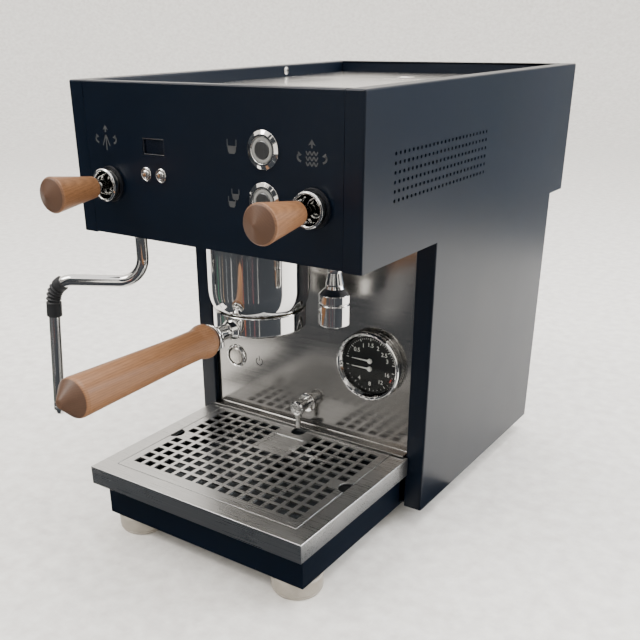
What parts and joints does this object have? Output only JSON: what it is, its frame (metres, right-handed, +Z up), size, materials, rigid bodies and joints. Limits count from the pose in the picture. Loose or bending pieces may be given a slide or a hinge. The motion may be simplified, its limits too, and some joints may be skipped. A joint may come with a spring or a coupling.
{
  "type": "espresso machine",
  "caption": "Box-shaped espresso machine: overhanging head with lever valves, portafilter, steam wand, gauge and sliding drip tray.",
  "frame": {"origin": "middle of the machine's footprint, wand and handle included, on the surface it stands on", "axes": "+Z up, +Y towards the back, +X to the right when facing the front panel"},
  "size_m": [0.3014, 0.523, 0.363],
  "materials": {
    "black_paint": "satin powder coat",
    "brushed_steel": "brushed",
    "chrome": "polished",
    "tan_wood": "oiled",
    "black_rubber": "matte",
    "brass": "machined",
    "boiler_steel": "satin",
    "black_plastic": "matte",
    "clear_glass": "clear",
    "dial_black": "gloss",
    "needle_white": "satin",
    "foot_grey": "satin",
    "tank_plastic": "clear"
  },
  "bodies": {
    "root": {"base_frame": "black_paint", "brew_boiler": "boiler_steel", "control_box": "black_plastic", "cup_tray": "brushed_steel", "display_window": "dial_black", "drain_spout": "chrome", "foot_front_left": "foot_grey", "foot_front_right": "foot_grey", "foot_rear_left": "foot_grey", "foot_rear_right": "foot_grey", "front_panel": "black_paint", "gauge_case": "chrome", "gauge_dial": "dial_black", "gauge_lens": "clear_glass", "group_body": "brass", "group_cover": "chrome", "lower_left_cover": "black_paint", "lower_rear_cover": "black_paint", "lower_right_cover": "black_paint", "one_cup_bezel": "chrome", "power_bezel": "chrome", "power_inlet": "black_plastic", "pump": "black_plastic", "shower_screen": "brushed_steel", "splash_panel": "brushed_steel", "steam_ball_nut": "brass", "steam_boiler": "boiler_steel", "steam_valve": "chrome", "two_cup_bezel": "chrome", "upper_floor": "black_paint", "upper_left_cover": "black_paint", "upper_rear_cover": "black_paint", "upper_right_cover": "black_paint", "water_tap": "chrome", "water_valve": "chrome"},
    "drip_tray": {"drip_surround": "brushed_steel", "drip_pan": "brushed_steel"},
    "drip_grid": {"drip_grid": "brushed_steel"},
    "portafilter": {"portafilter_ring": "chrome", "filter_basket": "brushed_steel", "portafilter_handle": "tan_wood"},
    "steam_pivot": {"steam_pivot_ring": "brass"},
    "steam_lever": {"steam_lever": "chrome", "steam_knob": "tan_wood"},
    "water_pivot": {"water_pivot_ring": "brass"},
    "water_lever": {"water_lever": "chrome", "water_knob": "tan_wood"},
    "wand_seat": {"steam_ball_seat": "black_plastic"},
    "steam_wand": {"steam_wand": "chrome", "steam_wand_grip": "black_rubber", "steam_tip": "chrome"},
    "steam_needle": {"steam_needle": "needle_white"},
    "brew_needle": {"brew_needle": "needle_white"},
    "menu_button_left": {"menu_button_left": "chrome"},
    "menu_button_right": {"menu_button_right": "chrome"},
    "one_cup_button": {"one_cup_button": "brushed_steel"},
    "two_cup_button": {"two_cup_button": "brushed_steel"},
    "power_button": {"power_button": "brushed_steel"},
    "water_tank": {"water_tank": "tank_plastic"},
    "tank_lid": {"tank_lid": "brushed_steel"}
  },
  "joints": [
    {"name": "drip_tray_slide", "type": "slide", "parent": "root", "child": "drip_tray", "axis": [0, -1, 0], "range_m": [0, 0.15]},
    {"name": "drip_grid_lift", "type": "slide", "parent": "drip_tray", "child": "drip_grid", "axis": [0, 0, 1], "range_m": [0, 0.012]},
    {"name": "portafilter_turn", "type": "hinge", "parent": "root", "child": "portafilter", "pos_m": [0.02322, -0.0535, 0.19], "axis": [0, 0, 1], "range_deg": [-45, 10]},
    {"name": "steam_lever_lift", "type": "hinge", "parent": "root", "child": "steam_pivot", "pos_m": [-0.06828, -0.1065, 0.291], "axis": [-1, 0, 0], "range_deg": [0, 15]},
    {"name": "steam_lever_swing", "type": "hinge", "parent": "steam_pivot", "child": "steam_lever", "pos_m": [-0.06828, -0.1065, 0.291], "axis": [0, 0, 1], "range_deg": [-15, 15], "stiffness_Nm_per_rad": 0.2},
    {"name": "water_lever_lift", "type": "hinge", "parent": "root", "child": "water_pivot", "pos_m": [0.11472, -0.1065, 0.291], "axis": [-1, 0, 0], "range_deg": [0, 15]},
    {"name": "water_lever_swing", "type": "hinge", "parent": "water_pivot", "child": "water_lever", "pos_m": [0.11472, -0.1065, 0.291], "axis": [0, 0, 1], "range_deg": [-15, 15], "stiffness_Nm_per_rad": 0.2},
    {"name": "wand_swivel", "type": "hinge", "parent": "root", "child": "wand_seat", "pos_m": [-0.06828, -0.0875, 0.262], "axis": [0, 0, 1], "range_deg": [-60, 80]},
    {"name": "wand_tilt", "type": "hinge", "parent": "wand_seat", "child": "steam_wand", "pos_m": [-0.06828, -0.0875, 0.262], "axis": [-0.4695, 0.8829, 0], "range_deg": [-8, 12]},
    {"name": "steam_needle_turn", "type": "hinge", "parent": "root", "child": "steam_needle", "pos_m": [0.08872, 0.0045, 0.1415], "axis": [0, 1, 0], "range_deg": [0, 180], "stiffness_Nm_per_rad": 0.001},
    {"name": "brew_needle_turn", "type": "hinge", "parent": "root", "child": "brew_needle", "pos_m": [0.08872, 0.0045, 0.1345], "axis": [0, 1, 0], "range_deg": [-180, 0], "stiffness_Nm_per_rad": 0.001},
    {"name": "menu_left_press", "type": "slide", "parent": "root", "child": "menu_button_left", "axis": [0, 1, 0], "range_m": [0, 0.0015], "stiffness_N_per_m": 300},
    {"name": "menu_right_press", "type": "slide", "parent": "root", "child": "menu_button_right", "axis": [0, 1, 0], "range_m": [0, 0.0015], "stiffness_N_per_m": 300},
    {"name": "one_cup_press", "type": "slide", "parent": "root", "child": "one_cup_button", "axis": [0, 1, 0], "range_m": [0, 0.002], "stiffness_N_per_m": 300},
    {"name": "two_cup_press", "type": "slide", "parent": "root", "child": "two_cup_button", "axis": [0, 1, 0], "range_m": [0, 0.002], "stiffness_N_per_m": 300},
    {"name": "power_press", "type": "slide", "parent": "root", "child": "power_button", "axis": [0, 1, 0], "range_m": [0, 0.003], "stiffness_N_per_m": 300},
    {"name": "tank_lift", "type": "slide", "parent": "root", "child": "water_tank", "axis": [0, 0, 1], "range_m": [0, 0.15]},
    {"name": "lid_lift", "type": "slide", "parent": "water_tank", "child": "tank_lid", "axis": [0, 0, 1], "range_m": [0, 0.06]}
  ]
}
